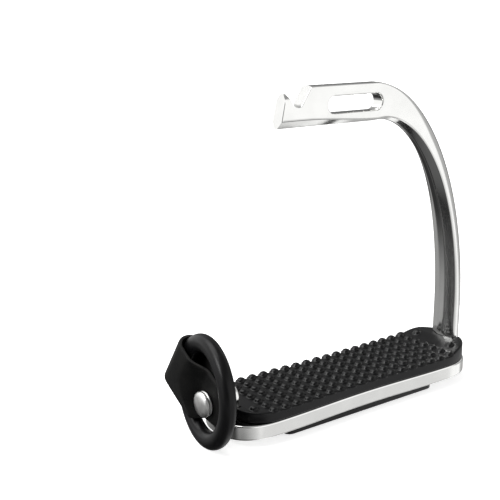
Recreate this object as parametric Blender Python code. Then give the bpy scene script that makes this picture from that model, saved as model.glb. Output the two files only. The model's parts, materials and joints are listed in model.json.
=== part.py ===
"""An open-sided safety stirrup iron.

One steel casting carries everything: a ring-shaped footplate, a curved arm, an eye bar with a strap slot
and a hook, and a lug at the open side. A rubber tread pad fills the footplate. A stud through the lug holds
a folded leather tab, and the tab holds a rubber ring that closes the open side.

+X runs along the tread from the open side to the arm, +Y across it, +Z up. The origin is the centre of the
pad's underside, which is what the iron stands on.
"""

from math import cos, pi, radians, sin, sqrt

import bmesh
import bpy
from mathutils import Vector

MM = 0.001
GAP = 0.3 * MM  # clearance between pieces that touch

# Iron: overall sizes
INSIDE_WIDTH = 121 * MM  # across the tread, from the lug's inner face to the arm's
HEIGHT = 141.5 * MM  # standing height, floor to eye bar

# Iron: footplate
PLATE_THICKNESS = 6.4 * MM
PLATE_LOBE = 17.6 * MM  # half-width at the two lobes
PLATE_WAIST = 16.3 * MM  # half-width in the middle
LOBE_FROM_END = 21.5 * MM  # the lobes' distance from the plate's ends
END_POWER = 2.5  # squareness of the plate's rounded ends
WINDOW_LENGTH = 76 * MM  # opening that the pad's plug fills
WINDOW_WIDTH = 19 * MM

# Iron: lug and arm
LUG_THICKNESS = 8.6 * MM
LUG_HALF_WIDTH = 5.6 * MM
LUG_RISE = 5.7 * MM  # above the stud's axis
ARM_DEPTH = 7.2 * MM  # at the foot, along X
ARM_WIDTH = 13.9 * MM  # at the foot, along Y
ARM_CREASE = 2.0 * MM  # from the arm's inner ridge to the edge of its side face
ARM_INSET = 0.6 * MM  # from the plate's end to the arm's outer face
ARM_STRAIGHT = 31 * MM  # height at which the arm starts to curve
CREASE_SWELL = 0.8 * MM  # the inner bevel is this much wider halfway round the bend
BEND_SQUARENESS = 2.1  # of the arm's curve; 2 is an ellipse
BEND_POWER = 1.4  # how quickly the bar's depth falls to the arm's
CROWN = 0.8 * MM  # the arm's outer face bulges by this much
CHAMFER = 0.8 * MM

# Iron: eye bar
BAR_DEPTH = 16.3 * MM  # along Z
BAR_WIDTH = 6.4 * MM  # along Y
BAR_CREASE = 1.2 * MM
HOOK_CREASE = 3.2 * MM
BEND_START = 12 * MM  # X at which the bar becomes the arm
TIP_BOTTOM = -39.8 * MM  # the hook's end face leans, so its top is further in
TIP_LEAN = 3.6 * MM
TIP_DROP = 2.6 * MM  # the hook's tip is this much lower than the bar's top
NOTCH_BOTTOM = -30.4 * MM
NOTCH_DEPTH = 8.1 * MM
NOTCH_RADIUS = 2.8 * MM
NOTCH_INNER = -23.5 * MM  # top corner on the bar's side
NOTCH_OUTER = -35.3 * MM  # top corner on the tip's side
SLOT_LENGTH = 30 * MM
SLOT_HEIGHT = 7 * MM
SLOT_LOW = 4.6 * MM  # metal under the slot

# Tread pad
LIP_THICKNESS = 3.2 * MM
LIP_LENGTH = 85.7 * MM
LIP_WIDTH = 29 * MM
LIP_CORNER = 4 * MM
PAD_THICKNESS = 4.7 * MM  # above the footplate
PAD_RISE = 3.3 * MM  # extra height where the pad meets the arm
PAD_RISE_LENGTH = 15 * MM
PAD_LEDGE = 6 * MM  # bare steel at the lug's end
PAD_INSET = 1.2 * MM  # and at the arm's end
PAD_ROUND = 0.8 * MM
PIMPLE_PITCH = 6 * MM
PIMPLE_ROW = 5.1 * MM
PIMPLE_RADIUS = 1.9 * MM
PIMPLE_HEIGHT = 1.4 * MM
PIMPLE_ROWS = 7
PIMPLE_COLUMNS = 18
LONG_ROWS = (1, 5)  # these two rows have one more pimple at each end

# Stud, at the lug
STUD_ABOVE_PLATE = 7.6 * MM
STUD_HEAD_RADIUS = 5.4 * MM
STUD_HEAD_THICKNESS = 3.3 * MM
STUD_SHANK_RADIUS = 2.6 * MM
STUD_TAIL = 1.5 * MM  # how far the riveted end stops short of the lug's inner face

# Leather tab
LEATHER = 1.6 * MM
TAB_ANGLE = radians(32)  # the strip rises by this towards +Y
TAB_LOW = -9.5 * MM  # the strip's lower and upper edge at the fold, from the stud's axis
TAB_HIGH = 12.6 * MM
TAB_NECK = -6.8 * MM  # its lower edge beside the stud, where it passes inside the ring
TAB_TAIL = 12 * MM  # the strip's end, past the stud
TAIL_TAPER = 0.48  # the tail's lower edge climbs this steeply
FOLD_ROOM = 1.5 * MM  # slack at the fold's lower edge, on the ring's outer side
FOLD_TIGHT = 0.55  # share of that slack gone at the upper edge

# Rubber ring
RING_RADIUS = 19.5 * MM  # to the middle of its section
RING_THICK = 7.4 * MM  # radially
RING_DEPTH = 6.4 * MM  # along its axis
RING_CENTRE_Y = -2.5 * MM
RING_SETOUT = 1.4 * MM  # its centre, out from the back of the stud's head
RING_CLEARANCE = 0.8 * MM  # above the floor
RING_TURN = radians(7.6)  # its plane's turn from YZ, about Z
RING_LEAN = radians(2.5)  # its top leans in towards the tread
FOLD_ANGLE = radians(13.7)  # where the fold meets the ring, above the horizontal
SWING_INSET = 1.5 * MM  # the ring swings about a line this far inside the middle of its section

# Places that follow from those
PLATE_BOTTOM = LIP_THICKNESS + GAP
PLATE_TOP = PLATE_BOTTOM + PLATE_THICKNESS
HALF_LENGTH = (INSIDE_WIDTH + LUG_THICKNESS + ARM_DEPTH + 2 * ARM_INSET) / 2 + 0.5 * MM
ARM_FOOT_X = HALF_LENGTH - ARM_INSET - ARM_DEPTH / 2
LUG_OUTER_X = -HALF_LENGTH + ARM_INSET
LUG_INNER_X = LUG_OUTER_X + LUG_THICKNESS
LOBE_X = HALF_LENGTH - LOBE_FROM_END
BAR_MIDDLE = HEIGHT - BAR_DEPTH / 2
STUD_Z = PLATE_TOP + STUD_ABOVE_PLATE
PAD_BOTTOM = PLATE_TOP + GAP
PAD_TOP = PLATE_TOP + PAD_THICKNESS
PAD_LEFT = -HALF_LENGTH + PAD_LEDGE
INNER_LAYER_X = -HALF_LENGTH - GAP - LEATHER / 2
OUTER_LAYER_X = INNER_LAYER_X - LEATHER - GAP
STUD_HEAD_BACK = OUTER_LAYER_X - LEATHER / 2 - GAP
RING_OUTER = RING_RADIUS + RING_THICK / 2
RING_Z = RING_OUTER + RING_CLEARANCE
RING_X = STUD_HEAD_BACK - RING_SETOUT
RING_ACROSS = Vector((sin(RING_TURN), cos(RING_TURN), 0))
RING_UP = Vector((sin(RING_LEAN), 0, cos(RING_LEAN)))
RING_CENTRE = Vector((RING_X, RING_CENTRE_Y, RING_Z))


def make_material(name, colour, roughness, metallic=0.0):
    material = bpy.data.materials.new(name)
    material.use_nodes = True
    shader = material.node_tree.nodes["Principled BSDF"]
    shader.inputs["Base Color"].default_value = (*colour, 1)
    shader.inputs["Roughness"].default_value = roughness
    shader.inputs["Metallic"].default_value = metallic
    return material


def make_object(name, points, faces, material=None, parent=None, origin=Vector()):
    """A mesh object whose points are given in world space. Its origin is placed at `origin`."""
    mesh = bpy.data.meshes.new(name)
    mesh.from_pydata([Vector(p) - origin for p in points], [], faces)
    shape = bmesh.new()
    shape.from_mesh(mesh)
    bmesh.ops.recalc_face_normals(shape, faces=shape.faces)
    shape.to_mesh(mesh)
    shape.free()
    made = bpy.data.objects.new(name, mesh)
    bpy.context.scene.collection.objects.link(made)
    if parent is None:
        made.location = origin
    else:
        made.parent = parent
        made.location = origin - parent.location
    if material is None:
        made.hide_render = True
        made.display_type = "WIRE"
    else:
        mesh.materials.append(material)
        mesh.shade_smooth()
        mesh.set_sharp_from_angle(angle=radians(32))
    return made


def loft(rings, closed=False):
    """Points and faces of a solid through rings of equally many points. Open lofts get a cap at each end."""
    count = len(rings[0])
    points = [p for ring in rings for p in ring]
    steps = len(rings) if closed else len(rings) - 1
    faces = []
    for i in range(steps):
        here, there = i * count, (i + 1) % len(rings) * count
        for j in range(count):
            k = (j + 1) % count
            faces.append((here + j, here + k, there + k, there + j))
    if not closed:
        faces.append(tuple(range(count)))
        faces.append(tuple(range(len(points) - count, len(points))))
    return points, faces


def prism(outline, axis, low, high):
    """A solid whose outline is in the plane across `axis` ("Y" for XZ, "Z" for XY, "X" for YZ)."""
    place = {
        "X": lambda a, b, depth: (depth, a, b),
        "Y": lambda a, b, depth: (a, depth, b),
        "Z": lambda a, b, depth: (a, b, depth),
    }[axis]
    return loft([[place(a, b, depth) for a, b in outline] for depth in (low, high)])


def combine(target, tool, operation):
    modifier = target.modifiers.new(f"{operation.lower()} {tool.name}", "BOOLEAN")
    modifier.operation = operation
    modifier.solver = "EXACT"
    modifier.object = tool


def arc(centre, radius, start, end, steps):
    """Points on an arc, angles in degrees."""
    angles = [radians(start + (end - start) * i / steps) for i in range(steps + 1)]
    return [(centre[0] + radius * cos(a), centre[1] + radius * sin(a)) for a in angles]


def stadium(length, height, centre=(0, 0), steps=8):
    half, radius = length / 2 - height / 2, height / 2
    right = arc((centre[0] + half, centre[1]), radius, -90, 90, steps)
    left = arc((centre[0] - half, centre[1]), radius, 90, 270, steps)
    return right + left


def rounded_rectangle(length, width, radius, steps=4):
    x, y = length / 2 - radius, width / 2 - radius
    corners = ((x, -y, -90), (x, y, 0), (-x, y, 90), (-x, -y, 180))
    return [p for cx, cy, start in corners for p in arc((cx, cy), radius, start, start + 90, steps)]


def smooth_step(value):
    value = min(max(value, 0), 1)
    return value * value * (3 - 2 * value)


def plate_half_width(x):
    """The footplate's half-width at x: two lobes, a waist between them and superellipse ends."""
    if abs(x) <= LOBE_X:
        return PLATE_WAIST + (PLATE_LOBE - PLATE_WAIST) * (1 - cos(pi * x / LOBE_X)) / 2
    reach = min((abs(x) - LOBE_X) / LOBE_FROM_END, 1)
    return PLATE_LOBE * (1 - reach**END_POWER) ** (1 / END_POWER)


def end_stations(start, end, steps):
    """X values from start to end, closer together towards the end."""
    return [start + (end - start) * sin(pi / 2 * i / steps) for i in range(steps + 1)]


def plate_outline():
    xs = end_stations(LOBE_X, HALF_LENGTH, 8)
    middle = [LOBE_X * i / 4 for i in range(4)]
    half = [(x, plate_half_width(x)) for x in middle + xs]
    near = [(x, -w) for x, w in half]
    far = [(x, w) for x, w in reversed(half[:-1])]
    right = near + far
    left = [(-x, -w) for x, w in right if x > 0]
    return right + left


def arm_section(depth, width, crease):
    """One section of the arm: outward offset and Y. The inner side is ridged, the outer slightly crowned."""
    side = [
        (-depth / 2, -0.14 * width),
        (-depth / 2 + crease, -width / 2),
        (depth / 2 - CROWN - CHAMFER, -width / 2),
        (depth / 2 - CROWN, -width / 2 + CHAMFER),
        (depth / 2, -0.15 * width),
    ]
    return side + [(out, -y) for out, y in reversed(side)]


def place_section(section, x, z, normal):
    return [(x + out * normal[0], y, z + out * normal[1]) for out, y in section]


def arm_rings():
    """Sections from the hook's tip along the eye bar, round the bend and down to the footplate."""
    rings = []
    for x in (TIP_BOTTOM - 2 * MM, NOTCH_BOTTOM, NOTCH_BOTTOM / 2, BEND_START / 2):
        share = (x - BEND_START) / (TIP_BOTTOM - BEND_START)
        crease = BAR_CREASE + (HOOK_CREASE - BAR_CREASE) * min(share * 1.2, 1)
        rings.append(place_section(arm_section(BAR_DEPTH, BAR_WIDTH, crease), x, BAR_MIDDLE, (0, 1)))
    reach, rise = ARM_FOOT_X - BEND_START, BAR_MIDDLE - ARM_STRAIGHT
    steps = 20
    for i in range(steps + 1):
        angle = pi / 2 * i / steps
        bend, turn = 1 - (1 - sin(angle)) ** BEND_POWER, sin(angle) ** 2
        swell = max(0, sin(2.4 * angle)) ** 1.5
        depth = BAR_DEPTH + (ARM_DEPTH - BAR_DEPTH) * bend
        width = BAR_WIDTH + (ARM_WIDTH - BAR_WIDTH) * turn
        crease = BAR_CREASE + (ARM_CREASE - BAR_CREASE) * turn + CREASE_SWELL * swell
        across, up = sin(angle) ** (2 / BEND_SQUARENESS), cos(angle) ** (2 / BEND_SQUARENESS)
        lean = BEND_SQUARENESS - 1
        normal = Vector((across**lean / reach, up**lean / rise)).normalized()
        x, z = BEND_START + reach * across, ARM_STRAIGHT + rise * up
        rings.append(place_section(arm_section(depth, width, crease), x, z, normal))
    foot = arm_section(ARM_DEPTH, ARM_WIDTH, ARM_CREASE)
    rings.append(place_section(foot, ARM_FOOT_X, PLATE_TOP - 2 * MM, (1, 0)))
    return rings


def hook_notch():
    """What is cut away above the hook: the tip's lower top, and the notch with a round bottom."""
    top, bottom = HEIGHT + 5 * MM, HEIGHT - NOTCH_DEPTH
    floor = arc((NOTCH_BOTTOM, bottom + NOTCH_RADIUS), NOTCH_RADIUS, 215, 320, 6)
    return [
        (NOTCH_INNER, top),
        (TIP_BOTTOM - 5 * MM, top),
        (TIP_BOTTOM - 5 * MM, HEIGHT - TIP_DROP),
        (NOTCH_OUTER, HEIGHT - TIP_DROP),
        *floor,
        (NOTCH_INNER, HEIGHT),
    ]


def tip_cut():
    """The leaning end of the hook."""
    low, high = HEIGHT - BAR_DEPTH - 1 * MM, HEIGHT + 1 * MM
    lean = TIP_LEAN * (high - low) / BAR_DEPTH
    far = TIP_BOTTOM - 8 * MM
    return [(far, low), (TIP_BOTTOM, low), (TIP_BOTTOM + lean, high), (far, high)]


def make_iron(steel):
    iron = make_object("iron_frame", *prism(plate_outline(), "Z", PLATE_BOTTOM, PLATE_TOP), steel)
    arm = make_object("arm_shape", *loft(arm_rings()))
    lug_outline = [(-LUG_HALF_WIDTH, PLATE_TOP - 1 * MM), (LUG_HALF_WIDTH, PLATE_TOP - 1 * MM)]
    lug_top = STUD_Z + LUG_RISE - LUG_HALF_WIDTH
    lug_outline += arc((0, lug_top), LUG_HALF_WIDTH, 0, 180, 12)
    lug = make_object("lug_shape", *prism(lug_outline, "X", LUG_OUTER_X, LUG_INNER_X))
    window = make_object(
        "window_cut", *prism(stadium(WINDOW_LENGTH, WINDOW_WIDTH), "Z", -1 * MM, PLATE_TOP + 1 * MM)
    )
    wide = BAR_WIDTH
    slot_outline = stadium(SLOT_LENGTH, SLOT_HEIGHT, (0, HEIGHT - BAR_DEPTH + SLOT_LOW + SLOT_HEIGHT / 2))
    cuts = [
        window,
        make_object("slot_cut", *prism(slot_outline, "Y", -wide, wide)),
        make_object("hook_cut", *prism(hook_notch(), "Y", -wide, wide)),
        make_object("tip_cut", *prism(tip_cut(), "Y", -wide, wide)),
        make_object("stud_bore", *lathe([(STUD_SHANK_RADIUS + GAP, x) for x in bore_ends()])),
    ]
    for shape in (arm, lug):
        combine(iron, shape, "UNION")
    for cut in cuts:
        combine(iron, cut, "DIFFERENCE")
    return iron


def bore_ends():
    return LUG_OUTER_X - 2 * MM, LUG_INNER_X - STUD_TAIL


def lathe(profile, steps=24):
    """A solid turned about the stud's axis. The profile is (radius, X), along X."""
    angles = [2 * pi * i / steps for i in range(steps)]
    return loft([[(x, r * cos(a), STUD_Z + r * sin(a)) for a in angles] for r, x in profile])


def make_stud(steel):
    """A thick round head with a rounded rim, on a shank that ends inside the lug."""
    back, face, rim = STUD_HEAD_BACK, STUD_HEAD_BACK - STUD_HEAD_THICKNESS, 0.7 * MM
    profile = [
        (STUD_HEAD_RADIUS - rim, face),
        (STUD_HEAD_RADIUS - 0.3 * rim, face + 0.3 * rim),
        (STUD_HEAD_RADIUS, face + rim),
        (STUD_HEAD_RADIUS, back - 0.4 * rim),
        (STUD_HEAD_RADIUS - 0.4 * rim, back),
        (STUD_SHANK_RADIUS, back),
        (STUD_SHANK_RADIUS, bore_ends()[1] - GAP),
    ]
    return make_object("ring_stud", *lathe(profile), steel, origin=Vector((back, 0, STUD_Z)))


def pad_top(x):
    return PAD_TOP + PAD_RISE * smooth_step((x - (HALF_LENGTH - LOBE_FROM_END)) / PAD_RISE_LENGTH)


def pad_half_width(x):
    """The pad follows the plate, and its end at the lug is rounded off short of the plate's."""
    if x >= -LOBE_X:
        return plate_half_width(x * HALF_LENGTH / (HALF_LENGTH - PAD_INSET))
    reach = min((-LOBE_X - x) / (-LOBE_X - PAD_LEFT), 1)
    return PLATE_LOBE * (1 - reach**END_POWER) ** (1 / END_POWER)


def pad_rings():
    """Sections of the flange across Y, from the lug's end to the arm's."""
    left = [x for x in reversed(end_stations(-LOBE_X, PAD_LEFT + 0.1 * MM, 7))]
    middle = [LOBE_X * i / 4 for i in range(-3, 4)]
    right = end_stations(LOBE_X, HALF_LENGTH - PAD_INSET - 0.1 * MM, 9)
    rings = []
    for x in left + middle + right:
        half, top = max(pad_half_width(x), 2 * PAD_ROUND), pad_top(x)
        ring = [(x, -half, PAD_BOTTOM), (x, -half, top - PAD_ROUND), (x, -half + PAD_ROUND, top)]
        rings.append(ring + [(x, -y, z) for x, y, z in reversed(ring)])
    return rings


def pimple_places():
    """Centres on the pad's top. The rows draw in a little with the waist."""
    for row in range(PIMPLE_ROWS):
        extra = 1 if row in LONG_ROWS else 0
        for column in range(-extra, PIMPLE_COLUMNS + extra):
            x = (column - (PIMPLE_COLUMNS - 1) / 2) * PIMPLE_PITCH
            follow = 1 + 0.6 * (plate_half_width(x) / PLATE_WAIST - 1) if abs(x) < LOBE_X else 1.04
            yield x, (row - (PIMPLE_ROWS - 1) / 2) * PIMPLE_ROW * follow


def pimple_shapes():
    """All pimples as one mesh of separate hexagonal frusta, each sunk a little into the pad."""
    points, faces = [], []
    for x, y in pimple_places():
        top = pad_top(x)
        rings = []
        for radius, z in ((PIMPLE_RADIUS, top - 0.5 * MM), (0.55 * PIMPLE_RADIUS, top + PIMPLE_HEIGHT)):
            rings.append([(x + radius * cos(pi * i / 3), y + radius * sin(pi * i / 3), z) for i in range(6)])
        more, sides = loft(rings)
        faces += [tuple(i + len(points) for i in side) for side in sides]
        points += more
    return points, faces


def make_pad(rubber):
    """Flange with pimples on top of the plate, a plug through its window and a lip under it."""
    pad = make_object("tread_pad", *loft(pad_rings()), rubber)
    lip = rounded_rectangle(LIP_LENGTH, LIP_WIDTH, LIP_CORNER)
    plug = stadium(WINDOW_LENGTH - 2 * GAP, WINDOW_WIDTH - 2 * GAP)
    beyond = HALF_LENGTH + 5 * MM
    ridge, crease = arm_section(ARM_DEPTH + 2 * GAP, ARM_WIDTH + 2 * GAP, ARM_CREASE)[:2]
    arm_near = [(beyond, crease[1]), (ARM_FOOT_X + crease[0], crease[1]), (ARM_FOOT_X + ridge[0], ridge[1])]
    arm_hole = arm_near + [(x, -y) for x, y in reversed(arm_near)]
    lug_edge, lug_side = LUG_INNER_X + GAP, LUG_HALF_WIDTH + GAP
    lug_hole = [(-beyond, -lug_side), (lug_edge, -lug_side), (lug_edge, lug_side), (-beyond, lug_side)]
    low, high = PAD_BOTTOM - 1 * MM, PAD_TOP + 12 * MM
    for name, shape, operation in (
        ("pimples", pimple_shapes(), "UNION"),
        ("arm_room", prism(arm_hole, "Z", low, high), "DIFFERENCE"),
        ("lug_room", prism(lug_hole, "Z", low, high), "DIFFERENCE"),
        ("plug", prism(plug, "Z", LIP_THICKNESS / 2, PAD_BOTTOM + 1 * MM), "UNION"),
        ("lip", prism(lip, "Z", 0, LIP_THICKNESS), "UNION"),
    ):
        combine(pad, make_object(name, *shape), operation)
    return pad


def ring_point(angle, radius=RING_RADIUS):
    """A point in the ring's plane, at an angle above the horizontal on the far side."""
    return RING_CENTRE + RING_ACROSS * (radius * cos(angle)) + RING_UP * (radius * sin(angle))


def make_ring(rubber, parent, origin):
    """Swept round its centre: a rounded section, flatter on the sides."""
    around, across = 48, 12
    normal = RING_ACROSS.cross(RING_UP).normalized()
    rings = []
    for i in range(around):
        angle = 2 * pi * i / around
        ring = []
        for j in range(across):
            turn = 2 * pi * (j + 0.5) / across
            out = RING_RADIUS + RING_THICK / 2 * cos(turn)
            ring.append(ring_point(angle, out) + normal * (RING_DEPTH / 2 * sin(turn)))
        rings.append(ring)
    return make_object("rubber_ring", *loft(rings, closed=True), rubber, parent, origin)


def tab_frame(along, across, x):
    """World point of a point on the leather strip: along it from the stud, across it, and its X."""
    y = along * cos(TAB_ANGLE) - across * sin(TAB_ANGLE)
    z = along * sin(TAB_ANGLE) + across * cos(TAB_ANGLE)
    return Vector((x, y, STUD_Z + z))


def ring_in_strip(radius, across):
    """How far along the strip a circle round the ring's centre lies, at a distance across the strip."""
    y, z = RING_CENTRE.y, RING_CENTRE.z - STUD_Z
    centre_along = y * cos(TAB_ANGLE) + z * sin(TAB_ANGLE)
    centre_across = z * cos(TAB_ANGLE) - y * sin(TAB_ANGLE)
    return centre_along + sqrt(max(radius**2 - (across - centre_across) ** 2, 0))


def strip_low(along):
    """The strip's lower edge: full width at the fold, a neck inside the ring and a tapered tail."""
    neck_end = STUD_HEAD_RADIUS
    wide = ring_in_strip(RING_RADIUS, TAB_LOW)
    share = smooth_step((along - neck_end) / (wide - neck_end))
    return TAB_NECK + (TAB_LOW - TAB_NECK) * share + TAIL_TAPER * max(0, -along)


def strip_path(across):
    """The middle of the strip's thickness, as (along, X): inner layer, fold round the ring, outer layer."""
    fold_x = ring_point(FOLD_ANGLE).x
    inner = RING_DEPTH / 2 + 2 * GAP + LEATHER / 2
    height = (across - TAB_LOW) / (TAB_HIGH - TAB_LOW)
    outer = inner + FOLD_ROOM * (1 - FOLD_TIGHT * height)
    fold_radius = (inner + outer) / 2
    rows = [TAB_LOW + (TAB_HIGH - TAB_LOW) * i / 20 for i in range(21)]
    furthest = max(ring_in_strip(RING_OUTER, row) for row in rows)
    fold_along = furthest + GAP + LEATHER / 2 - fold_radius
    middle_x = fold_x + (inner - outer) / 2
    inside = RING_RADIUS - RING_THICK / 2 - 3 * GAP
    leave = ring_in_strip(inside, max(across, TAB_NECK))
    flat_end = min(STUD_HEAD_RADIUS, leave - 3.5 * MM)
    path = [(-TAB_TAIL, INNER_LAYER_X), (-TAB_TAIL / 2, INNER_LAYER_X), (0, INNER_LAYER_X)]
    path += ease((flat_end, INNER_LAYER_X), (leave, fold_x + inner), 5)
    for i in range(9):
        angle = pi / 2 - pi * i / 8
        path.append((fold_along + fold_radius * cos(angle), middle_x + fold_radius * sin(angle)))
    path += reversed(ease((flat_end, OUTER_LAYER_X), (leave, fold_x - outer), 5))
    path += [(0, OUTER_LAYER_X), (-TAB_TAIL / 2, OUTER_LAYER_X), (-TAB_TAIL, OUTER_LAYER_X)]
    return path


def ease(start, end, steps):
    """Points of an S-shaped step from start to end."""
    shares = [i / steps for i in range(steps + 1)]
    return [
        (start[0] + (end[0] - start[0]) * s, start[1] + (end[1] - start[1]) * smooth_step(s))
        for s in shares
    ]


def tab_faces():
    """The strip as a closed shell: two grids a leather's thickness apart, joined round the edge."""
    rows = 7
    paths = [strip_path(TAB_LOW + (TAB_HIGH - TAB_LOW) * i / (rows - 1)) for i in range(rows)]
    count = len(paths[0])
    points = []
    for side in (0.5, -0.5):
        for i, path in enumerate(paths):
            for j, (along, x) in enumerate(path):
                low = strip_low(along)
                across = low + (TAB_HIGH - low) * i / (rows - 1)
                before, after = path[max(j - 1, 0)], path[min(j + 1, count - 1)]
                run, climb = after[0] - before[0], after[1] - before[1]
                length = sqrt(run * run + climb * climb)
                shift = side * LEATHER / length
                points.append(tab_frame(along - climb * shift, across, x + run * shift))
    half = rows * count
    faces = []
    for i in range(rows - 1):
        for j in range(count - 1):
            a = i * count + j
            quad = (a, a + 1, a + count + 1, a + count)
            faces += [quad, tuple(half + k for k in reversed(quad))]
    border = [*range(count), *[i * count + count - 1 for i in range(1, rows)]]
    border += [*[(rows - 1) * count + j for j in range(count - 2, -1, -1)]]
    border += [i * count for i in range(rows - 2, 0, -1)]
    for a, b in zip(border, border[1:] + border[:1]):
        faces.append((b, a, half + a, half + b))
    return points, faces


def make_tab(leather, parent, origin):
    tab = make_object("leather_tab", *tab_faces(), leather, parent, origin)
    hole = [(STUD_SHANK_RADIUS + GAP, x) for x in (INNER_LAYER_X + 3 * MM, STUD_HEAD_BACK - 1 * MM)]
    combine(tab, make_object("tab_hole", *lathe(hole)), "DIFFERENCE")
    return tab


def make_empty(name, location, parent=None):
    empty = bpy.data.objects.new(name, None)
    bpy.context.scene.collection.objects.link(empty)
    empty.location = location if parent is None else location - parent.location
    empty.parent = parent
    return empty


def main():
    for old in list(bpy.data.objects):
        bpy.data.objects.remove(old)
    steel = make_material("stainless steel", (0.78, 0.78, 0.77), 0.18, 1.0)
    stud_steel = make_material("turned steel", (0.62, 0.62, 0.61), 0.34, 1.0)
    pad_rubber = make_material("tread rubber", (0.022, 0.022, 0.023), 0.55)
    ring_rubber = make_material("ring rubber", (0.025, 0.025, 0.026), 0.42)
    leather = make_material("black leather", (0.012, 0.012, 0.012), 0.6)
    make_iron(steel)
    make_pad(pad_rubber)
    make_stud(stud_steel)
    stud_pivot = make_empty("tab_pivot", Vector((STUD_HEAD_BACK, 0, STUD_Z)))
    make_tab(leather, stud_pivot, stud_pivot.location.copy())
    fold = ring_point(FOLD_ANGLE, RING_RADIUS - SWING_INSET)
    bpy.context.view_layer.update()
    ring_pivot = make_empty("ring_pivot", fold, stud_pivot)
    ring = make_ring(ring_rubber, None, fold)
    ring.parent = ring_pivot
    ring.location = Vector()


main()
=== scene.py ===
import json
from math import cos, pi, radians, sin, sqrt

import bmesh
import bpy
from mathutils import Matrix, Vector

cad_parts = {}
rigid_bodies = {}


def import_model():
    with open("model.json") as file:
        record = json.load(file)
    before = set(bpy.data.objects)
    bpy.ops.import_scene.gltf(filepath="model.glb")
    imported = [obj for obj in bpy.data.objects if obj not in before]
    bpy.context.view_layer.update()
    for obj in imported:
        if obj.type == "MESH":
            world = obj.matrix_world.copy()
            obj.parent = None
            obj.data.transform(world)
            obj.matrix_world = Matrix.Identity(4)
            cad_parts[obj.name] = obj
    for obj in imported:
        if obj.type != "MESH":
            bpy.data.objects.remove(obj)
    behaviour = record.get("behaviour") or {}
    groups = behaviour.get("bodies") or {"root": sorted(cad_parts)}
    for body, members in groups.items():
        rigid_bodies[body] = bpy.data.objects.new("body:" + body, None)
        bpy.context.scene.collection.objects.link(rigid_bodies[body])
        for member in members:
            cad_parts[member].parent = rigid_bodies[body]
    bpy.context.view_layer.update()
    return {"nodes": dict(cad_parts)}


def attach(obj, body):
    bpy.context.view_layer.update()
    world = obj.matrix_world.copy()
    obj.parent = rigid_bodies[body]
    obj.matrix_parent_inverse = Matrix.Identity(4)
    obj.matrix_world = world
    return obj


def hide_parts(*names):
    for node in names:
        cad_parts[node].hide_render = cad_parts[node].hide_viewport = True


for leftOver in list(bpy.data.objects):
    bpy.data.objects.remove(leftOver)
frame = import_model()
print("stage: frame loaded,", len(frame["nodes"]), "nodes")

mm = 0.001  # shapes below are worked out in millimetres and turned to metres when a mesh is made
clearance = 0.3  # between pieces that touch
creaseAngle = 38  # degrees: a sharper edge than this is drawn as an edge


def meshObject(name, points, faces, materials=(), sharpAngle=creaseAngle):
    mesh = bpy.data.meshes.new(name)
    mesh.from_pydata([Vector(p) * mm for p in points], [], faces)
    shape = bmesh.new()
    shape.from_mesh(mesh)
    bmesh.ops.recalc_face_normals(shape, faces=shape.faces)
    shape.to_mesh(mesh)
    shape.free()
    made = bpy.data.objects.new(name, mesh)
    bpy.context.scene.collection.objects.link(made)
    for material in materials:
        mesh.materials.append(material)
    mesh.shade_smooth()
    mesh.set_sharp_from_angle(angle=radians(sharpAngle))
    return made


def loft(rings, closed=False):
    count = len(rings[0])
    points = [p for ring in rings for p in ring]
    faces = []
    for i in range(len(rings) if closed else len(rings) - 1):
        here, there = i * count, (i + 1) % len(rings) * count
        for j in range(count):
            k = (j + 1) % count
            faces.append((here + j, here + k, there + k, there + j))
    if not closed:
        faces += [tuple(range(count)), tuple(range(len(points) - count, len(points)))]
    return points, faces


def applyModifiers(piece, sharpAngle=creaseAngle):
    bpy.context.view_layer.update()
    graph = bpy.context.evaluated_depsgraph_get()
    mesh = bpy.data.meshes.new_from_object(piece.evaluated_get(graph))
    piece.modifiers.clear()
    piece.data = mesh
    mesh.shade_smooth()
    mesh.set_sharp_from_angle(angle=radians(sharpAngle))


def combine(piece, tools, operation):
    for tool in tools:
        step = piece.modifiers.new(operation.lower(), "BOOLEAN")
        step.operation, step.solver, step.object = operation, "EXACT", tool
        applyModifiers(piece)
        bpy.data.objects.remove(tool)


def arc(centre, radius, start, end, steps):
    turns = [radians(start + (end - start) * i / steps) for i in range(steps + 1)]
    return [(centre[0] + radius * cos(a), centre[1] + radius * sin(a)) for a in turns]


def stadium(length, height, centre=(0, 0), steps=20):
    half, radius = (length - height) / 2, height / 2
    right = arc((centre[0] + half, centre[1]), radius, -90, 90, steps)
    return right + arc((centre[0] - half, centre[1]), radius, 90, 270, steps)


def roundCorners(corners, radii, steps=4):
    # each corner of a closed outline becomes a short curve that starts `radius` before it
    most = 0.47  # of a side, so that the curves at its two ends never meet
    made = []
    for i, (corner, radius) in enumerate(zip(corners, radii)):
        here = Vector(corner)
        before = Vector(corners[i - 1]) - here
        after = Vector(corners[(i + 1) % len(corners)]) - here
        start = here + before.normalized() * min(radius, most * before.length)
        end = here + after.normalized() * min(radius, most * after.length)
        for j in range(steps + 1):
            t = j / steps
            made.append(tuple(start * (1 - t) ** 2 + here * (2 * t * (1 - t)) + end * t * t))
    return made


def offsetOutline(outline, distance):
    # outlines run anticlockwise, so a positive distance grows them
    made = []
    for i, point in enumerate(outline):
        before, after = Vector(outline[i - 1]), Vector(outline[(i + 1) % len(outline)])
        along = (after - before).normalized()
        made.append((point[0] + along.y * distance, point[1] - along.x * distance))
    return made


def prism(outline, axis, levels):
    # levels are (depth along the axis, how much the outline grows there)
    place = "XYZ".index(axis)
    rings = []
    for depth, grow in levels:
        rings.append([(*p[:place], depth, *p[place:]) for p in offsetOutline(outline, grow)])
    return loft(rings)


def quarterTurn(steps):
    return [pi / 2 * i / steps for i in range(steps + 1)]


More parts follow.
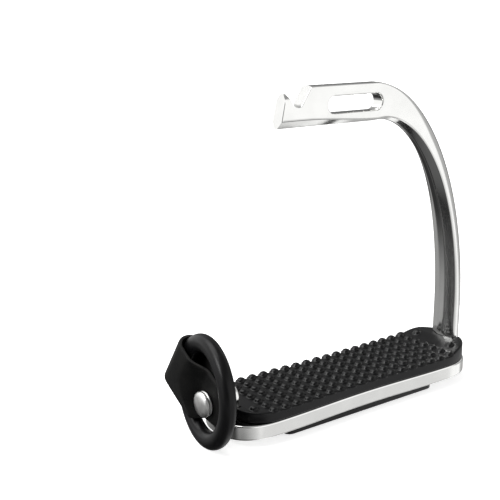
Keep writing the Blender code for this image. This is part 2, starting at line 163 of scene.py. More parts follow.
def roundedLevels(low, high, radius, steps=5):
    # a solid's two ends with round edges
    quarter = [(radius * (1 - cos(turn)), radius * (1 - sin(turn))) for turn in quarterTurn(steps)]
    start = [(low + rise, -inset) for rise, inset in quarter]
    return start + [(high - rise, -inset) for rise, inset in reversed(quarter)]


def flaredLevels(half, radius, beyond, steps=5):
    # a cutter that leaves a round edge where it comes out of a wall at +half and -half
    quarter = [(radius * sin(turn), radius * (1 - cos(turn))) for turn in quarterTurn(steps)]
    out = [(half - radius + rise, grow) for rise, grow in quarter] + [(half + beyond, radius + beyond * 0.1)]
    return [(-depth, grow) for depth, grow in reversed(out)] + out


def smoothStep(value):
    value = min(max(value, 0), 1)
    return value * value * (3 - 2 * value)


def spread(start, end, steps):
    # values from start to end, closer together towards the end
    return [start + (end - start) * sin(turn) for turn in quarterTurn(steps)]


def between(start, end, share):
    return start + (end - start) * share


def linearColour(hexColour):
    parts = [int(hexColour[i:i + 2], 16) / 255 for i in (1, 3, 5)]
    return (*[p / 12.92 if p <= 0.04045 else ((p + 0.055) / 1.055) ** 2.4 for p in parts], 1)


def connect(tree, node, links):
    for socket, source in links.items():
        tree.links.new(source, node.inputs[socket])


def addNode(tree, kind, settings=None, links=None):
    # settings named after a socket go on it, "colours" go on a colour ramp, the others on the node itself
    node = tree.nodes.new(kind)
    for key, value in (settings or {}).items():
        if key == "colours":
            for stop, place, colour in zip(node.color_ramp.elements, (0.35, 0.65), value):
                stop.position, stop.color = place, linearColour(colour)
        elif isinstance(key, int) or key in node.inputs:
            node.inputs[key].default_value = value
        else:
            setattr(node, key, value)
    connect(tree, node, links or {})
    return node


def rangeTo(low, high, fromLow=0.3, fromHigh=0.7):
    # settings that stretch a texture's middle values to run between two numbers
    return {"From Min": fromLow, "From Max": fromHigh, "To Min": low, "To Max": high}


def newMaterial(name, settings):
    material = bpy.data.materials.new(name)
    material.use_nodes = True
    shader = material.node_tree.nodes["Principled BSDF"]
    for key, value in settings.items():
        shader.inputs[key].default_value = value
    return material, material.node_tree, shader


def perMetre(size):
    # texture scale for a pattern whose repeat is `size` millimetres
    return 1 / (size * mm)


def polishedSteel():
    # cast stainless steel, ground and buffed: clear but slightly soft reflections, with faint buffing lines
    # in mm: buffing lines and their depth (coarser than real ones, to show), cloudy patches, handling wear
    look = {"buffLine": 0.5, "lineDepth": 0.02, "haze": 9, "wear": 26}
    stretch = (1, 1, 0.05)  # the lines run up and down
    material, tree, shader = newMaterial("buffed stainless steel", {"Metallic": 1.0})
    place = {"Vector": addNode(tree, "ShaderNodeTexCoord").outputs["Object"]}
    haze = addNode(tree, "ShaderNodeTexNoise", {"Scale": perMetre(look["haze"]), "Detail": 3.0}, place)
    wear = addNode(tree, "ShaderNodeTexNoise",
                   {"Scale": perMetre(look["wear"]), "Detail": 6.0, "Roughness": 0.7}, place)
    drawn = addNode(tree, "ShaderNodeMapping", {"Scale": stretch}, place)
    lines = addNode(tree, "ShaderNodeTexNoise", {"Scale": perMetre(look["buffLine"]), "Detail": 2.0},
                    {"Vector": drawn.outputs["Vector"]})
    tint = addNode(tree, "ShaderNodeValToRGB", {"colours": ("#e8e8e6", "#eeeeec")},
                   {"Fac": haze.outputs["Fac"]})
    gloss = addNode(tree, "ShaderNodeMapRange", rangeTo(0.09, 0.15), {"Value": wear.outputs["Fac"]})
    bump = addNode(tree, "ShaderNodeBump", {"Strength": 0.015, "Distance": look["lineDepth"] * mm},
                   {"Height": lines.outputs["Fac"]})
    connect(tree, shader, {"Base Color": tint.outputs["Color"], "Roughness": gloss.outputs["Result"],
                           "Normal": bump.outputs["Normal"]})
    return material


def turnedSteel():
    # bright steel turned on a lathe: duller than the casting, with fine rings round the stud's axis
    look = {"toolMark": 0.45, "markDepth": 0.03, "stain": 3.5}  # mm
    # a wave texture's own factor, so the rings repeat every 2 pi tool marks: coarser than real ones, to show
    waveFactor = 20
    material, tree, shader = newMaterial("turned steel", {"Metallic": 1.0})
    place = {"Vector": addNode(tree, "ShaderNodeTexCoord").outputs["Object"]}
    centred = addNode(tree, "ShaderNodeMapping", {"Location": (0, 0, -stud["z"] * mm)}, place)
    rings = addNode(tree, "ShaderNodeTexWave",
                    {"wave_type": "RINGS", "rings_direction": "X", "Distortion": 0.4,
                     "Scale": perMetre(look["toolMark"]) / waveFactor}, {"Vector": centred.outputs["Vector"]})
    stain = addNode(tree, "ShaderNodeTexNoise", {"Scale": perMetre(look["stain"]), "Detail": 4.0}, place)
    tint = addNode(tree, "ShaderNodeValToRGB", {"colours": ("#e6e6e4", "#f4f4f2")},
                   {"Fac": stain.outputs["Fac"]})
    gloss = addNode(tree, "ShaderNodeMapRange", rangeTo(0.3, 0.42), {"Value": stain.outputs["Fac"]})
    bump = addNode(tree, "ShaderNodeBump", {"Strength": 0.05, "Distance": look["markDepth"] * mm},
                   {"Height": rings.outputs["Fac"]})
    connect(tree, shader, {"Base Color": tint.outputs["Color"], "Roughness": gloss.outputs["Result"],
                           "Normal": bump.outputs["Normal"]})
    return material


def mouldedRubber(name, look):
    # natural rubber from a steel mould: black with a faint bloom, soft highlights and a fine grain
    material, tree, shader = newMaterial(name, {"IOR": 1.5, "Specular IOR Level": look["shine"]})
    place = {"Vector": addNode(tree, "ShaderNodeTexCoord").outputs["Object"]}
    bloom = addNode(tree, "ShaderNodeTexNoise",
                    {"Scale": perMetre(look["bloom"]), "Detail": 5.0, "Roughness": 0.65}, place)
    grain = addNode(tree, "ShaderNodeTexNoise", {"Scale": perMetre(look["grain"]), "Detail": 3.0}, place)
    tint = addNode(tree, "ShaderNodeValToRGB", {"colours": look["colours"]}, {"Fac": bloom.outputs["Fac"]})
    gloss = addNode(tree, "ShaderNodeMapRange", rangeTo(*look["roughness"]), {"Value": bloom.outputs["Fac"]})
    bump = addNode(tree, "ShaderNodeBump", {"Strength": look["bump"], "Distance": look["grainDepth"] * mm},
                   {"Height": grain.outputs["Fac"]})
    connect(tree, shader, {"Base Color": tint.outputs["Color"], "Roughness": gloss.outputs["Result"],
                           "Normal": bump.outputs["Normal"]})
    return material


def grainLeather():
    # chrome-tanned cowhide, dyed black and lightly waxed: pebbled grain, creases and a low shine
    look = {"pebble": 0.9, "pebbleDepth": 0.08, "crease": 5, "creaseDepth": 0.3, "rub": 7}  # mm
    material, tree, shader = newMaterial("black cowhide", {"IOR": 1.5, "Specular IOR Level": 0.16})
    place = {"Vector": addNode(tree, "ShaderNodeTexCoord").outputs["Object"]}
    pebbles = addNode(tree, "ShaderNodeTexVoronoi",
                      {"feature": "DISTANCE_TO_EDGE", "Scale": perMetre(look["pebble"])}, place)
    creases = addNode(tree, "ShaderNodeTexNoise",
                      {"Scale": perMetre(look["crease"]), "Detail": 6.0, "Distortion": 0.6}, place)
    rub = addNode(tree, "ShaderNodeTexNoise", {"Scale": perMetre(look["rub"]), "Detail": 4.0}, place)
    tint = addNode(tree, "ShaderNodeValToRGB", {"colours": ("#050505", "#0c0c0b")},
                   {"Fac": rub.outputs["Fac"]})
    gloss = addNode(tree, "ShaderNodeMapRange", rangeTo(0.5, 0.66), {"Value": rub.outputs["Fac"]})
    valleys = addNode(tree, "ShaderNodeMapRange", rangeTo(0, 1, 0, 0.12),
                      {"Value": pebbles.outputs["Distance"]})
    fine = addNode(tree, "ShaderNodeBump", {"Strength": 0.3, "Distance": look["pebbleDepth"] * mm},
                   {"Height": valleys.outputs["Result"]})
    broad = addNode(tree, "ShaderNodeBump", {"Strength": 0.35, "Distance": look["creaseDepth"] * mm},
                    {"Height": creases.outputs["Fac"], "Normal": fine.outputs["Normal"]})
    connect(tree, shader, {"Base Color": tint.outputs["Color"], "Roughness": gloss.outputs["Result"],
                           "Normal": broad.outputs["Normal"]})
    return material


def cutLeather():
    # the strip's cut edge: dyed fibres that scatter more light than the grain side
    look = {"fibre": 0.35, "fibreDepth": 0.15, "patch": 2.5}  # mm
    material, tree, shader = newMaterial("cut cowhide edge", {"IOR": 1.5, "Specular IOR Level": 0.3})
    place = {"Vector": addNode(tree, "ShaderNodeTexCoord").outputs["Object"]}
    fibre = addNode(tree, "ShaderNodeTexNoise", {"Scale": perMetre(look["fibre"]), "Detail": 4.0}, place)
    patch = addNode(tree, "ShaderNodeTexNoise", {"Scale": perMetre(look["patch"]), "Detail": 2.0}, place)
    tint = addNode(tree, "ShaderNodeValToRGB", {"colours": ("#161616", "#242322")},
                   {"Fac": patch.outputs["Fac"]})
    gloss = addNode(tree, "ShaderNodeMapRange", rangeTo(0.6, 0.85), {"Value": fibre.outputs["Fac"]})
    bump = addNode(tree, "ShaderNodeBump", {"Strength": 0.4, "Distance": look["fibreDepth"] * mm},
                   {"Height": fibre.outputs["Fac"]})
    connect(tree, shader, {"Base Color": tint.outputs["Color"], "Roughness": gloss.outputs["Result"],
                           "Normal": bump.outputs["Normal"]})
    return material


plate = {
    "bottom": 3.5, "top": 9.9, "halfLength": 69.5,
    "lobe": 17.6, "waist": 16.3, "lobeFromEnd": 21.5, "endPower": 2.5, "edgeRadius": 0.8,
    "windowLength": 76, "windowWidth": 19, "windowRound": 0.4,
}
plate["lobeX"] = plate["halfLength"] - plate["lobeFromEnd"]

lug = {"outer": -68.9, "inner": -60.3, "halfWidth": 5.6, "rise": 5.7, "edgeRadius": 1.1, "sunk": 1.5}

arm = {
    "depth": 7.8, "width": 13.9, "crease": 2.0, "swell": 0.8, "footX": 65.6, "straight": 31,
    "squareness": 2.04, "bendPower": 1.4, "crown": 0.6, "chamfer": 3.2, "slope": 0.4,
    "edgeRadius": 0.8, "ridgeRadius": 1.0, "ridgeAt": 0.14, "crownAt": 0.15,  # the last two: shares of width
    "stations": 72, "footLevels": (22, 14),
}

bar = {
    "height": 141.5, "depth": 16.3, "width": 6.4, "crease": 1.2, "hookCrease": 3.2, "bendStart": 12,
    "edgeRadius": 0.5, "ridgeRadius": 0.4, "topChamfer": 0.35, "tipChamfer": 2.6, "stations": 24,
    "tipBottom": -39.8, "tipLean": 3.6, "tipDrop": 2.6, "tipRadius": 0.7,
    "notchBottom": -30.4, "notchDepth": 8.1, "notchRadius": 2.8, "notchRound": 0.4,
    "notchInner": -23.5, "notchOuter": -35.3, "notchFloor": (215, 320),  # degrees
    "slotLength": 30, "slotHeight": 7, "slotLow": 4.6, "rimRadius": 0.55,
}
bar["middle"] = bar["height"] - bar["depth"] / 2

stud = {
    "z": 17.5, "back": -73.6, "headRadius": 5.4, "headThickness": 3.3, "shankRadius": 2.6, "tail": 1.5,
    # the head, from the middle of its face to its groove: (radius, how far behind the face)
    "face": [(0.05, 0), (1.6, 0.04), (3.2, 0.16), (4.2, 0.35), (4.8, 0.62), (5.2, 0.98), (5.4, 1.4)],
    "groove": [(5.4, 1.75), (5.2, 2.0), (4.5, 2.1), (4.5, 2.35), (5.15, 2.45), (5.35, 2.65)],
}


def plateHalfWidth(x):
    if abs(x) <= plate["lobeX"]:
        return plate["waist"] + (plate["lobe"] - plate["waist"]) * (1 - cos(pi * x / plate["lobeX"])) / 2
    reach = min((abs(x) - plate["lobeX"]) / plate["lobeFromEnd"], 1)
    return plate["lobe"] * (1 - reach ** plate["endPower"]) ** (1 / plate["endPower"])


def plateOutline():
    xs = [plate["lobeX"] * i / 16 for i in range(16)] + spread(plate["lobeX"], plate["halfLength"], 30)
    half = [(x, plateHalfWidth(x)) for x in xs]
    right = [(x, -w) for x, w in half] + [(x, w) for x, w in reversed(half[:-1])]
    return right + [(-x, -w) for x, w in right if x > 0]


def armSection(depth, width, crease, edge, ridge, chamfer, crown, slope=1):
    # (outwards, Y): a ridged inner side, flat front and back, a slightly crowned outer side
    inner, outer = -depth / 2, depth / 2
    side = [
        ((inner, -arm["ridgeAt"] * width), ridge),
        ((inner + crease, -width / 2), edge),
        ((outer - crown - chamfer, -width / 2), edge + chamfer),
        ((outer - crown, -width / 2 + chamfer * slope), edge + chamfer * slope),
        ((outer, -arm["crownAt"] * width), 4 * edge),
    ]
    corners = side + [((out, -y), radius) for (out, y), radius in reversed(side)]
    return roundCorners([c for c, _ in corners], [radius for _, radius in corners])


def footSection(grow=0):
    return armSection(arm["depth"] + grow, arm["width"] + grow, arm["crease"], arm["edgeRadius"],
                      arm["ridgeRadius"], arm["chamfer"], arm["crown"], arm["slope"])


def placeSection(section, x, z, normal):
    return [(x + out * normal[0], y, z + out * normal[1]) for out, y in section]


def barRings():
    # from the hook's tip to where the bend starts: the bevel under the bar deepens towards the hook
    rings = []
    low = bar["tipBottom"] - 2
    for i in range(bar["stations"]):
        x = low + (bar["bendStart"] - low) * i / bar["stations"]
        share = (x - bar["bendStart"]) / (bar["tipBottom"] - bar["bendStart"])
        crease = between(bar["crease"], bar["hookCrease"], smoothStep(share * 1.3))
        past = smoothStep((bar["notchInner"] - x) / (bar["notchInner"] - bar["notchOuter"]))
        rounding = between(bar["topChamfer"], bar["tipChamfer"], past)
        section = armSection(bar["depth"], bar["width"], crease, bar["edgeRadius"], bar["ridgeRadius"],
                             rounding, rounding)
        rings.append(placeSection(section, x, bar["middle"], (0, 1)))
    return rings


def armRings():
    rings = []
    reach, rise = arm["footX"] - bar["bendStart"], bar["middle"] - arm["straight"]
    for i in range(arm["stations"] + 1):
        angle = pi / 2 * i / arm["stations"]
        bend, turn = 1 - (1 - sin(angle)) ** arm["bendPower"], sin(angle) ** 2
        early = min(1, 3 * turn)  # the outer edge's chamfer is whole after some 35 degrees
        swell = max(0, sin(2.4 * angle)) ** 1.5  # the ridge is deepest at 37.5 degrees
        depth = between(bar["depth"], arm["depth"], bend)
        width = between(bar["width"], arm["width"], turn)
        crease = between(bar["crease"], arm["crease"], turn) + arm["swell"] * swell
        across, up = sin(angle) ** (2 / arm["squareness"]), cos(angle) ** (2 / arm["squareness"])
        lean = arm["squareness"] - 1
        normal = Vector((across ** lean / reach, up ** lean / rise)).normalized()
        section = armSection(
            depth, width, crease,
            between(bar["edgeRadius"], arm["edgeRadius"], turn),
            between(bar["ridgeRadius"], arm["ridgeRadius"], turn),
            between(bar["topChamfer"], arm["chamfer"], early),
            between(bar["topChamfer"], arm["crown"], turn),
            between(1, arm["slope"], early))
        x, z = bar["bendStart"] + reach * across, arm["straight"] + rise * up
        rings.append(placeSection(section, x, z, normal))
    for z in (*arm["footLevels"], plate["top"] - 2):
        rings.append(placeSection(footSection(), arm["footX"], z, (1, 0)))
    return rings


def hookNotch():
    # one cutter makes the notch and lowers the hook's tip
    top, bottom = bar["height"] + 6, bar["height"] - bar["notchDepth"]
    tipTop, far = bar["height"] - bar["tipDrop"], bar["tipBottom"] - 6
    centre = (bar["notchBottom"], bottom + bar["notchRadius"])
    floor = arc(centre, bar["notchRadius"], *bar["notchFloor"], 16)
    start = [(bar["notchInner"] + 3, top), (far, top), (far, tipTop), (bar["notchOuter"] - 0.3, tipTop)]
    return start + floor + [(bar["notchInner"] + 0.5, bar["height"] + 0.9)]


def tipCut():
    low, high = bar["height"] - bar["depth"] - 2, bar["height"] + 2
    lean = bar["tipLean"] * (high - low) / bar["depth"]
    far = bar["tipBottom"] - 9
    return [(far, low), (bar["tipBottom"], low), (bar["tipBottom"] + lean, high), (far, high)]


def turnedRings(profile, steps=72):
    angles = [2 * pi * i / steps for i in range(steps)]
    return [[(x, r * cos(a), stud["z"] + r * sin(a)) for a in angles] for r, x in profile]


def makeFrame(steel):
    levels = roundedLevels(plate["bottom"], plate["top"], plate["edgeRadius"])
    piece = meshObject("stirrupFrame", *prism(plateOutline(), "Z", levels), [steel])
    lugTop, lugFoot = stud["z"] + lug["rise"] - lug["halfWidth"], plate["top"] - lug["sunk"]
    outline = [(-lug["halfWidth"], lugFoot), (lug["halfWidth"], lugFoot)]
    outline += arc((0, lugTop), lug["halfWidth"], 0, 180, 32)
    lugShape = prism(outline, "X", roundedLevels(lug["outer"], lug["inner"], lug["edgeRadius"]))
    armShape = loft(barRings() + armRings())
    combine(piece, [meshObject("armShape", *armShape), meshObject("lugShape", *lugShape)], "UNION")
    slotMiddle = bar["height"] - bar["depth"] + bar["slotLow"] + bar["slotHeight"] / 2
    slot = stadium(bar["slotLength"], bar["slotHeight"], (0, slotMiddle))
    half, beyond = bar["width"] / 2, 4
    rim = flaredLevels(half, bar["rimRadius"], beyond)
    windowMiddle = (plate["top"] + plate["bottom"]) / 2
    windowLevels = flaredLevels(plate["top"] - windowMiddle, plate["windowRound"], 3)
    window = [(windowMiddle + depth, grow) for depth, grow in windowLevels]
    boreEnds = (lug["outer"] - 2, lug["inner"] - stud["tail"])
    bore = [(stud["shankRadius"] + clearance, x) for x in boreEnds]
    cutters = [
        meshObject("windowCut", *prism(stadium(plate["windowLength"], plate["windowWidth"]), "Z", window)),
        meshObject("slotCut", *prism(slot, "Y", rim)),
        meshObject("hookCut", *prism(hookNotch(), "Y", flaredLevels(half, bar["notchRound"], beyond))),
        meshObject("tipCut", *prism(tipCut(), "Y", flaredLevels(half, bar["tipRadius"], beyond))),
        meshObject("boreCut", *loft(turnedRings(bore))),
    ]
    combine(piece, cutters, "DIFFERENCE")
    piece.modifiers.new("flatFaces", "WEIGHTED_NORMAL").keep_sharp = True
    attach(piece, "iron")
    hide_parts("iron_frame")
    print("stage: frame made,", len(piece.data.polygons), "faces")


def makeStud(steel):
    face, back, radius = stud["back"] - stud["headThickness"], stud["back"], stud["headRadius"]
    profile = [(r, face + behind) for r, behind in stud["face"] + stud["groove"]]
    profile += [(radius - 0.05, back - 0.25), (radius - 0.3, back), (stud["shankRadius"], back)]
    profile.append((stud["shankRadius"], lug["inner"] - stud["tail"] - clearance))
    piece = meshObject("headStud", *loft(turnedRings(profile)), [steel], 50)
    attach(piece, "iron")
    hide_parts("ring_stud")
    print("stage: stud made")


pad = {
    "bottom": 10.2, "top": 14.6, "rise": 3.3, "riseLength": 15, "left": -63.5, "inset": 1.2, "edge": 0.9,
    "foot": [(0.25, 0), (0, 0.3)],  # the bottom edge's rounding: (inset, rise)
    "lipThickness": 3.2, "lipLength": 85.7, "lipWidth": 29, "lipCorner": 4, "lipRound": 0.5,
    "pitch": 6, "row": 5.1, "rows": 7, "columns": 18, "longRows": (1, 5),
    "follow": 0.6, "endFollow": 1.04,  # how far the rows bow out with the plate's sides
    # one pimple, from its foot up: (radius, height)
    "pimple": [(2.45, -0.3), (2.4, 0.03), (2.1, 0.14), (1.93, 0.4), (1.78, 0.75), (1.5, 1.08), (1.05, 1.32),
               (0.5, 1.44), (0.06, 1.46)],
    "look": {"colours": ("#050506", "#0a0a0b"), "roughness": (0.25, 0.36), "shine": 0.27,
             "bloom": 8, "grain": 0.5, "grainDepth": 0.08, "bump": 0.15},  # bloom, grain and its depth in mm
}


def padTop(x):
    return pad["top"] + pad["rise"] * smoothStep((x - plate["lobeX"]) / pad["riseLength"])


def padHalfWidth(x):
    if x >= -plate["lobeX"]:
        return plateHalfWidth(x * plate["halfLength"] / (plate["halfLength"] - pad["inset"]))
    reach = min((-plate["lobeX"] - x) / (-plate["lobeX"] - pad["left"]), 1)
    return plate["lobe"] * (1 - reach ** plate["endPower"]) ** (1 / plate["endPower"])


def padRings():
    short = 0.05  # of the very end, where the outline has no width
    left = list(reversed(spread(-plate["lobeX"], pad["left"] + short, 22)))
    middle = [plate["lobeX"] * i / 14 for i in range(-13, 14)]
    right = spread(plate["lobeX"], plate["halfLength"] - pad["inset"] - short, 30)
    rings = []
    for x in left + middle + right:
        half, top, edge = max(padHalfWidth(x), 2 * pad["edge"]), padTop(x), pad["edge"]
        side = [(x, -half + inset, pad["bottom"] + rise) for inset, rise in pad["foot"]]
        side += [(x, -half + edge * (1 - cos(turn)), top - edge * (1 - sin(turn))) for turn in quarterTurn(5)]
        rings.append(side + [(x, -y, z) for x, y, z in reversed(side)])
    return rings


def pimpleShapes():
    points, faces, around = [], [], 20
    turns = [2 * pi * i / around for i in range(around)]
    for row in range(pad["rows"]):
        extra = 1 if row in pad["longRows"] else 0
        for column in range(-extra, pad["columns"] + extra):
            x = (column - (pad["columns"] - 1) / 2) * pad["pitch"]
            inside = abs(x) < plate["lobeX"]
            bow = 1 + pad["follow"] * (plateHalfWidth(x) / plate["waist"] - 1) if inside else pad["endFollow"]
            y, top = (row - (pad["rows"] - 1) / 2) * pad["row"] * bow, padTop(x)
            tilt = (padTop(x + 1) - padTop(x - 1)) / 2
            rings = []
            for radius, height in pad["pimple"]:
                level = top + height
                rings.append([(x + radius * cos(a), y + radius * sin(a), level + tilt * radius * cos(a))
                              for a in turns])
            more, sides = loft(rings)
            faces += [tuple(i + len(points) for i in side) for side in sides]
            points += more
    return points, faces


def makePad(rubber):
    piece = meshObject("pimplePad", *loft(padRings()), [rubber])
    signs = ((1, -1), (1, 1), (-1, 1), (-1, -1))
    corners = [(pad["lipLength"] / 2 * a, pad["lipWidth"] / 2 * b) for a, b in signs]
    lip = roundCorners(corners, [pad["lipCorner"]] * 4, 8)
    gap = 2 * clearance
    plug = stadium(plate["windowLength"] - gap, plate["windowWidth"] - gap)
    beyond = plate["halfLength"] + 5
    flatDepth = arm["depth"] / 2 - arm["crown"] - arm["chamfer"]
    near = [(arm["footX"] + out, y) for out, y in footSection(gap) if out < flatDepth]
    near.sort(key=lambda point: -point[1])
    armRoom = [(beyond, near[-1][1]), (beyond, near[0][1]), *near]
    edge, side = lug["inner"] + clearance, lug["halfWidth"] + clearance
    lugRoom = [(-beyond, -side), (edge, -side), (edge, side), (-beyond, side)]
    low, high = pad["bottom"] - 1, pad["top"] + 12
    combine(piece, [meshObject("pimples", *pimpleShapes())], "UNION")
    rooms = [prism(armRoom, "Z", [(low, 0), (high, 0)]), prism(lugRoom, "Z", [(low, 0), (high, 0)])]
    combine(piece, [meshObject("room", *room) for room in rooms], "DIFFERENCE")
    under = [
        prism(plug, "Z", [(pad["lipThickness"] / 2, 0), (pad["bottom"] + 1, 0)]),
        prism(lip, "Z", roundedLevels(0, pad["lipThickness"], pad["lipRound"])),
    ]
    combine(piece, [meshObject("under", *shape) for shape in under], "UNION")
    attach(piece, "iron")
    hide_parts("tread_pad")
    print("stage: pad made,", len(piece.data.polygons), "faces")


ring = {
    "radius": 19.5, "thick": 7.4, "deep": 6.4, "centre": (-75.0, -2.5, 24.0), "turn": radians(7.6),
    "lean": radians(2.5), "foldAngle": radians(13.7), "squareness": 2.15,
    "look": {"colours": ("#050506", "#0a0a0b"), "roughness": (0.28, 0.38), "shine": 0.2,
             "bloom": 12, "grain": 0.4, "grainDepth": 0.08, "bump": 0.12},  # bloom, grain and its depth in mm
}
ring["across"] = Vector((sin(ring["turn"]), cos(ring["turn"]), 0))
ring["up"] = Vector((sin(ring["lean"]), 0, cos(ring["lean"])))


def ringPoint(angle, radius):
    across, up = ring["across"] * (radius * cos(angle)), ring["up"] * (radius * sin(angle))
    return Vector(ring["centre"]) + across + up


def makeRing(rubber):
    # a moulded ring whose section is an oval, slightly squared
    around, section, power = 144, 40, ring["squareness"]
    normal = ring["across"].cross(ring["up"]).normalized()
    rings = []
    for i in range(around):
        angle, loop = 2 * pi * i / around, []
        for j in range(section):
            turn = 2 * pi * j / section
            size = (abs(cos(turn)) ** power + abs(sin(turn)) ** power) ** (-1 / power)
            out = ring["radius"] + ring["thick"] / 2 * size * cos(turn)
            loop.append(ringPoint(angle, out) + normal * (ring["deep"] / 2 * size * sin(turn)))
        rings.append(loop)
    piece = meshObject("releaseRing", *loft(rings, closed=True), [rubber])
    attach(piece, "ring")
    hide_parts("rubber_ring")
    print("stage: ring made")


tab = {
    "thick": 1.6, "angle": radians(32), "low": -9.5, "high": 12.6, "neck": -8.4, "tail": 12, "taper": 0.48,
    "corner": 2.6, "cornerLength": 4,  # the tail's corners are rounded off
    "leastStep": 3.5,  # the shortest run in which a layer steps out onto the ring
    "room": 1.5, "tight": 0.55, "ringGap": 0.6, "innerX": -70.6, "outerX": -72.5,
}


def tabPoint(along, across, x):
    y = along * cos(tab["angle"]) - across * sin(tab["angle"])
    z = along * sin(tab["angle"]) + across * cos(tab["angle"])
    return Vector((x, y, stud["z"] + z))


def ringInStrip(radius, across):
    # how far along the strip a circle round the ring's centre lies
    y, z = ring["centre"][1], ring["centre"][2] - stud["z"]
    centreAlong = y * cos(tab["angle"]) + z * sin(tab["angle"])
    centreAcross = z * cos(tab["angle"]) - y * sin(tab["angle"])
    return centreAlong + sqrt(max(radius ** 2 - (across - centreAcross) ** 2, 0))


def stripLow(along):
    reach = ringInStrip(ring["radius"], tab["low"]) - stud["headRadius"]
    share = smoothStep((along - stud["headRadius"]) / reach)
    return between(tab["neck"], tab["low"], share) + tab["taper"] * max(0, -along)


def stripRows(count):
    return [tab["low"] + (tab["high"] - tab["low"]) * i / (count - 1) for i in range(count)]


def stepBetween(start, end, steps):
    shares = [i / steps for i in range(steps + 1)]
    return [(between(start[0], end[0], s), between(start[1], end[1], smoothStep(s))) for s in shares]


def stripPath(across):
    # the middle of the leather, as (along, X): inner layer, fold round the ring, outer layer
    foldX = ringPoint(ring["foldAngle"], ring["radius"]).x
    inner = ring["deep"] / 2 + tab["ringGap"] + tab["thick"] / 2
    height = (across - tab["low"]) / (tab["high"] - tab["low"])
    outer = inner + tab["room"] * (1 - tab["tight"] * height)
    foldRadius = (inner + outer) / 2
    outside = ring["radius"] + ring["thick"] / 2
    furthest = max(ringInStrip(outside, row) for row in stripRows(21))
    foldAlong = furthest + clearance + tab["thick"] / 2 - foldRadius
    inside = ring["radius"] - ring["thick"] / 2 - 3 * clearance
    leave = ringInStrip(inside, max(across, tab["neck"]))
    flatEnd = min(stud["headRadius"], leave - tab["leastStep"])
    ends = [-tab["tail"] * (1 - i / 8) for i in range(9)]
    path = [(along, tab["innerX"]) for along in ends]
    path += stepBetween((flatEnd, tab["innerX"]), (leave, foldX + inner), 10)
    for i in range(19):
        angle = pi / 2 - pi * i / 18
        x = foldX + (inner - outer) / 2 + foldRadius * sin(angle)
        path.append((foldAlong + foldRadius * cos(angle), x))
    path += reversed(stepBetween((flatEnd, tab["outerX"]), (leave, foldX - outer), 10))
    return path + [(along, tab["outerX"]) for along in reversed(ends)]


def makeTab(leather, cutEdge):
    rows = 19
    paths = [stripPath(across) for across in stripRows(rows)]
    count, points, faces = len(paths[0]), [], []
    for side in (0.5, -0.5):
        for i, path in enumerate(paths):
            for j, (along, x) in enumerate(path):
                low = stripLow(along)
                beyond = -along - tab["tail"] + tab["cornerLength"]
                corner = smoothStep(beyond / tab["cornerLength"]) * tab["corner"]
                across = low + corner + (tab["high"] - corner - low - corner) * i / (rows - 1)
                before, after = path[max(j - 1, 0)], path[min(j + 1, count - 1)]
                run, climb = after[0] - before[0], after[1] - before[1]
                shift = side * tab["thick"] / sqrt(run * run + climb * climb)
                points.append(tabPoint(along - climb * shift, across, x + run * shift))
    half = rows * count
    for i in range(rows - 1):
        for j in range(count - 1):
            a = i * count + j
            quad = (a, a + 1, a + count + 1, a + count)
            faces += [quad, tuple(half + k for k in reversed(quad))]
    grainFaces = len(faces)
    border = [*range(count), *[i * count + count - 1 for i in range(1, rows)]]
    border += [(rows - 1) * count + j for j in range(count - 2, -1, -1)]
    border += [i * count for i in range(rows - 2, 0, -1)]
    faces += [(b, a, half + a, half + b) for a, b in zip(border, border[1:] + border[:1])]
    piece = meshObject("leatherTab", points, faces, [leather, cutEdge])
    for face in piece.data.polygons[grainFaces:]:
        face.material_index = 1
    piece.modifiers.new("soften", "SUBSURF").levels = 1
    applyModifiers(piece, 60)
    hole = [(stud["shankRadius"] + clearance, x) for x in (tab["innerX"] + 3, tab["outerX"] - 2)]
    combine(piece, [meshObject("holeCut", *loft(turnedRings(hole)))], "DIFFERENCE")
    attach(piece, "tab")
    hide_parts("leather_tab")
    print("stage: tab made")


studio = {
    "lens": 64.8, "sensor": 36, "cameraPlace": (-0.2528, -0.2822, 0.1709),
    "cameraTurn": (radians(75), 0, radians(-35.48)), "lightsFace": (0, 0, 0.05),
    "floorSize": 30, "floorColour": "#f6f6f6", "floorGlow": 0.7,
    "worldStrength": 1.15, "horizon": (-0.1, -0.22), "ceilingFrom": (0.5, 0.75), "ceiling": 0.3,
    "sunPower": 2.0, "sunWidth": radians(50), "sunFrom": (-0.35, 0.45, 1.0),
    "boxPower": 3, "boxSize": 0.25, "boxFrom": (-0.7, 0.1, 0.5),
}

# what the steel mirrors: direction, dot product where the panel is solid, where it ends, its brightness,
# and where it hangs: only below the horizon, only above it, or across it
panels = [
    ((-0.93, 0.10, -0.35), 0.95, 0.80, 0.11, "below"),
    ((-0.25, 0.40, -0.88), 0.90, 0.72, 0.10, "below"),
    ((-0.42, -0.32, -0.85), 0.93, 0.74, 0.16, "below"),
    ((-0.15, 0.95, -0.26), 0.85, 0.50, 0.30, "below"),
    ((0.75, 0.50, -0.20), 0.85, 0.74, 0.40, "both"),
    ((0.95, -0.15, 0.15), 0.94, 0.86, 0.42, "both"),
    ((0.58, 0.76, 0.30), 0.95, 0.84, 0.35, "above"),
    ((0.45, -0.75, -0.50), 0.97, 0.90, 0.70, "below"),
    ((-0.65, -0.70, -0.30), 0.93, 0.55, 0.50, "below"),
    ((0.56, -0.35, -0.75), 0.992, 0.97, 0.15, "both"),
    ((-0.80, -0.58, 0.10), 0.86, 0.70, 0.12, "above"),
]


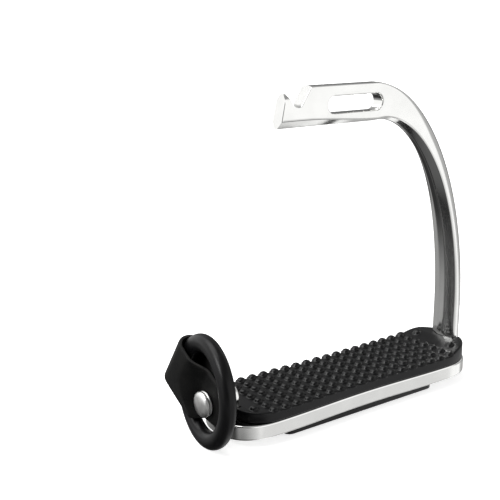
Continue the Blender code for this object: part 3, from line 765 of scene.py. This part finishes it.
def makeWorld():
    # soft light all round, broken by darker panels that give the steel its tones, under a quieter ceiling
    world = bpy.data.worlds.new("studio")
    bpy.context.scene.world = world
    world.use_nodes = True
    tree = world.node_tree
    direction = addNode(tree, "ShaderNodeTexCoord").outputs["Generated"]
    height = {"Value": addNode(tree, "ShaderNodeSeparateXYZ", links={0: direction}).outputs["Z"]}
    smooth = {"interpolation_type": "SMOOTHSTEP"}
    floorward = {**smooth, **rangeTo(0.0, 1.0, *studio["horizon"])}
    below = addNode(tree, "ShaderNodeMapRange", floorward, height).outputs["Result"]
    above = addNode(tree, "ShaderNodeMath", {"operation": "SUBTRACT", 0: 1.0}, {1: below}).outputs[0]
    upward = {**smooth, **rangeTo(1.0, studio["ceiling"], *studio["ceilingFrom"])}
    light = addNode(tree, "ShaderNodeMapRange", upward, height).outputs["Result"]
    for toward, solid, ends, brightness, hangs in panels:
        aim = {"operation": "DOT_PRODUCT", 1: Vector(toward).normalized()}
        facing = addNode(tree, "ShaderNodeVectorMath", aim, {0: direction}).outputs["Value"]
        fade = {**smooth, **rangeTo(0.0, 1 - brightness, ends, solid)}
        cover = addNode(tree, "ShaderNodeMapRange", fade, {"Value": facing}).outputs["Result"]
        if hangs != "both":
            kept = {0: cover, 1: below if hangs == "below" else above}
            cover = addNode(tree, "ShaderNodeMath", {"operation": "MULTIPLY"}, kept).outputs[0]
        left = addNode(tree, "ShaderNodeMath", {"operation": "SUBTRACT", 0: 1.0}, {1: cover}).outputs[0]
        light = addNode(tree, "ShaderNodeMath", {"operation": "MULTIPLY"}, {0: light, 1: left}).outputs[0]
    # seen directly, above the floor's edge, the surround is plain white
    seen = addNode(tree, "ShaderNodeLightPath").outputs["Is Camera Ray"]
    light = addNode(tree, "ShaderNodeMath", {"operation": "MAXIMUM"}, {0: light, 1: seen}).outputs[0]
    background = tree.nodes["Background"]
    background.inputs["Strength"].default_value = studio["worldStrength"]
    connect(tree, background, {"Color": light})


def placeInScene(name, data, place, turn=None):
    # a light has no turn of its own: it faces the part
    holder = bpy.data.objects.new(name, data)
    bpy.context.scene.collection.objects.link(holder)
    holder.location = place
    toward = Vector(studio["lightsFace"]) - Vector(place)
    holder.rotation_euler = turn or toward.to_track_quat("-Z", "Y").to_euler()
    return holder


def makeStudio():
    half = studio["floorSize"] / 2 / mm
    paint, _, shader = newMaterial("matt white paint", {"Roughness": 0.9})
    for socket in ("Base Color", "Emission Color"):
        shader.inputs[socket].default_value = linearColour(studio["floorColour"])
    shader.inputs["Emission Strength"].default_value = studio["floorGlow"]
    corners = [(-half, -half, 0), (half, -half, 0), (half, half, 0), (-half, half, 0)]
    floor = meshObject("floor", corners, [(0, 1, 2, 3)], [paint])
    floor.visible_glossy = False  # the steel mirrors the studio's panels in its place
    makeWorld()
    sun = bpy.data.lights.new("overheadSoftLight", "SUN")
    sun.energy, sun.angle = studio["sunPower"], studio["sunWidth"]
    placeInScene("overheadSoftLight", sun, studio["sunFrom"])
    box = bpy.data.lights.new("sideBox", "AREA")
    box.shape, box.size, box.energy = "SQUARE", studio["boxSize"], studio["boxPower"]
    placeInScene("sideBox", box, studio["boxFrom"])
    data = bpy.data.cameras.new("camera")
    data.lens, data.sensor_width, data.clip_start = studio["lens"], studio["sensor"], 0.01
    bpy.context.scene.camera = placeInScene("camera", data, studio["cameraPlace"], studio["cameraTurn"])
    bpy.context.scene.view_settings.view_transform = "Standard"
    print("stage: studio made")


makeFrame(polishedSteel())
makeStud(turnedSteel())
makePad(mouldedRubber("moulded black rubber", pad["look"]))
makeRing(mouldedRubber("satin black rubber", ring["look"]))
makeTab(grainLeather(), cutLeather())
makeStudio()
